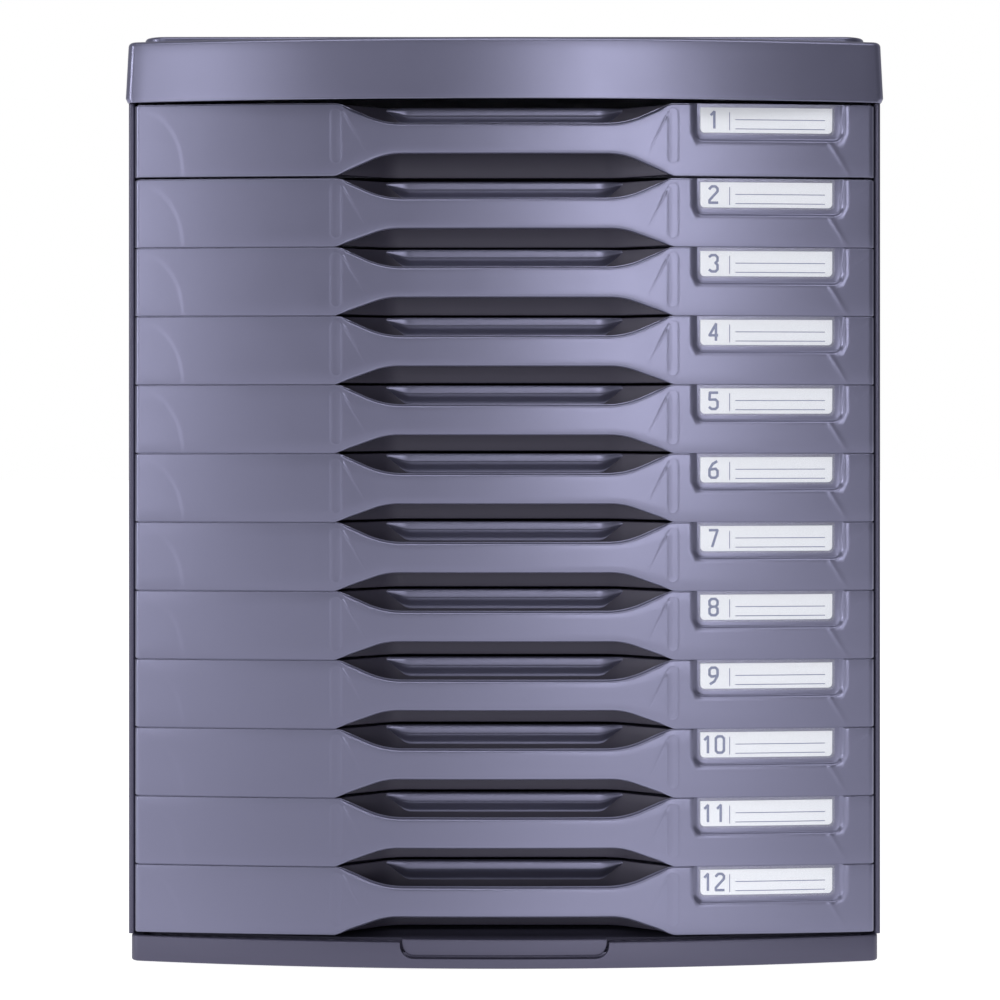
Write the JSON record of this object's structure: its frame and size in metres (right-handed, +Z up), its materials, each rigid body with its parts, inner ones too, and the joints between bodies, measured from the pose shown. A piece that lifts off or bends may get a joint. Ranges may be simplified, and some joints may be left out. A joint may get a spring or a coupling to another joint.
{
  "type": "filing cabinet",
  "caption": "Desktop filing cabinet of moulded plastic with a bowed front, a stack of shallow sliding drawers with scooped finger grips and label pockets, a rimmed cover and a low base.",
  "frame": {"origin": "on the floor, under the middle of the cabinet's overall box", "axes": "+X to the viewer's right when facing the drawers, -Y is the front that the drawers open towards, +Z up"},
  "size_m": [0.291, 0.3498, 0.3558],
  "materials": {
    "front_plastic": "satin, slate violet grey",
    "frame_plastic": "satin, darker slate grey",
    "tray_plastic": "satin, slate grey",
    "label_paper": "smooth white card",
    "clear_plastic": "clear glossy plastic",
    "foot_rubber": "matt black",
    "screw_steel": "zinc plated"
  },
  "bodies": {
    "cabinet": {"base": "frame_plastic", "left_side_panel": "frame_plastic", "right_side_panel": "frame_plastic", "back_panel": "frame_plastic", "top_cover": "front_plastic", "rubber_feet": "foot_rubber", "base_screws": "screw_steel"},
    "drawer_01": {"drawer_01_front": "front_plastic", "drawer_01_tray": "tray_plastic", "label_01_card": "label_paper", "label_01_holder": "clear_plastic"},
    "drawer_02": {"drawer_02_front": "front_plastic", "drawer_02_tray": "tray_plastic", "label_02_card": "label_paper", "label_02_holder": "clear_plastic"},
    "drawer_03": {"drawer_03_front": "front_plastic", "drawer_03_tray": "tray_plastic", "label_03_card": "label_paper", "label_03_holder": "clear_plastic"},
    "drawer_04": {"drawer_04_front": "front_plastic", "drawer_04_tray": "tray_plastic", "label_04_card": "label_paper", "label_04_holder": "clear_plastic"},
    "drawer_05": {"drawer_05_front": "front_plastic", "drawer_05_tray": "tray_plastic", "label_05_card": "label_paper", "label_05_holder": "clear_plastic"},
    "drawer_06": {"drawer_06_front": "front_plastic", "drawer_06_tray": "tray_plastic", "label_06_card": "label_paper", "label_06_holder": "clear_plastic"},
    "drawer_07": {"drawer_07_front": "front_plastic", "drawer_07_tray": "tray_plastic", "label_07_card": "label_paper", "label_07_holder": "clear_plastic"},
    "drawer_08": {"drawer_08_front": "front_plastic", "drawer_08_tray": "tray_plastic", "label_08_card": "label_paper", "label_08_holder": "clear_plastic"},
    "drawer_09": {"drawer_09_front": "front_plastic", "drawer_09_tray": "tray_plastic", "label_09_card": "label_paper", "label_09_holder": "clear_plastic"},
    "drawer_10": {"drawer_10_front": "front_plastic", "drawer_10_tray": "tray_plastic", "label_10_card": "label_paper", "label_10_holder": "clear_plastic"},
    "drawer_11": {"drawer_11_front": "front_plastic", "drawer_11_tray": "tray_plastic", "label_11_card": "label_paper", "label_11_holder": "clear_plastic"},
    "drawer_12": {"drawer_12_front": "front_plastic", "drawer_12_tray": "tray_plastic", "label_12_card": "label_paper", "label_12_holder": "clear_plastic"}
  },
  "joints": [
    {"name": "drawer_01_slide", "type": "slide", "parent": "cabinet", "child": "drawer_01", "axis": [0, -1, 0], "range_m": [0, 0.26]},
    {"name": "drawer_02_slide", "type": "slide", "parent": "cabinet", "child": "drawer_02", "axis": [0, -1, 0], "range_m": [0, 0.26]},
    {"name": "drawer_03_slide", "type": "slide", "parent": "cabinet", "child": "drawer_03", "axis": [0, -1, 0], "range_m": [0, 0.26]},
    {"name": "drawer_04_slide", "type": "slide", "parent": "cabinet", "child": "drawer_04", "axis": [0, -1, 0], "range_m": [0, 0.26]},
    {"name": "drawer_05_slide", "type": "slide", "parent": "cabinet", "child": "drawer_05", "axis": [0, -1, 0], "range_m": [0, 0.26]},
    {"name": "drawer_06_slide", "type": "slide", "parent": "cabinet", "child": "drawer_06", "axis": [0, -1, 0], "range_m": [0, 0.26]},
    {"name": "drawer_07_slide", "type": "slide", "parent": "cabinet", "child": "drawer_07", "axis": [0, -1, 0], "range_m": [0, 0.26]},
    {"name": "drawer_08_slide", "type": "slide", "parent": "cabinet", "child": "drawer_08", "axis": [0, -1, 0], "range_m": [0, 0.26]},
    {"name": "drawer_09_slide", "type": "slide", "parent": "cabinet", "child": "drawer_09", "axis": [0, -1, 0], "range_m": [0, 0.26]},
    {"name": "drawer_10_slide", "type": "slide", "parent": "cabinet", "child": "drawer_10", "axis": [0, -1, 0], "range_m": [0, 0.26]},
    {"name": "drawer_11_slide", "type": "slide", "parent": "cabinet", "child": "drawer_11", "axis": [0, -1, 0], "range_m": [0, 0.26]},
    {"name": "drawer_12_slide", "type": "slide", "parent": "cabinet", "child": "drawer_12", "axis": [0, -1, 0], "range_m": [0, 0.26]}
  ]
}
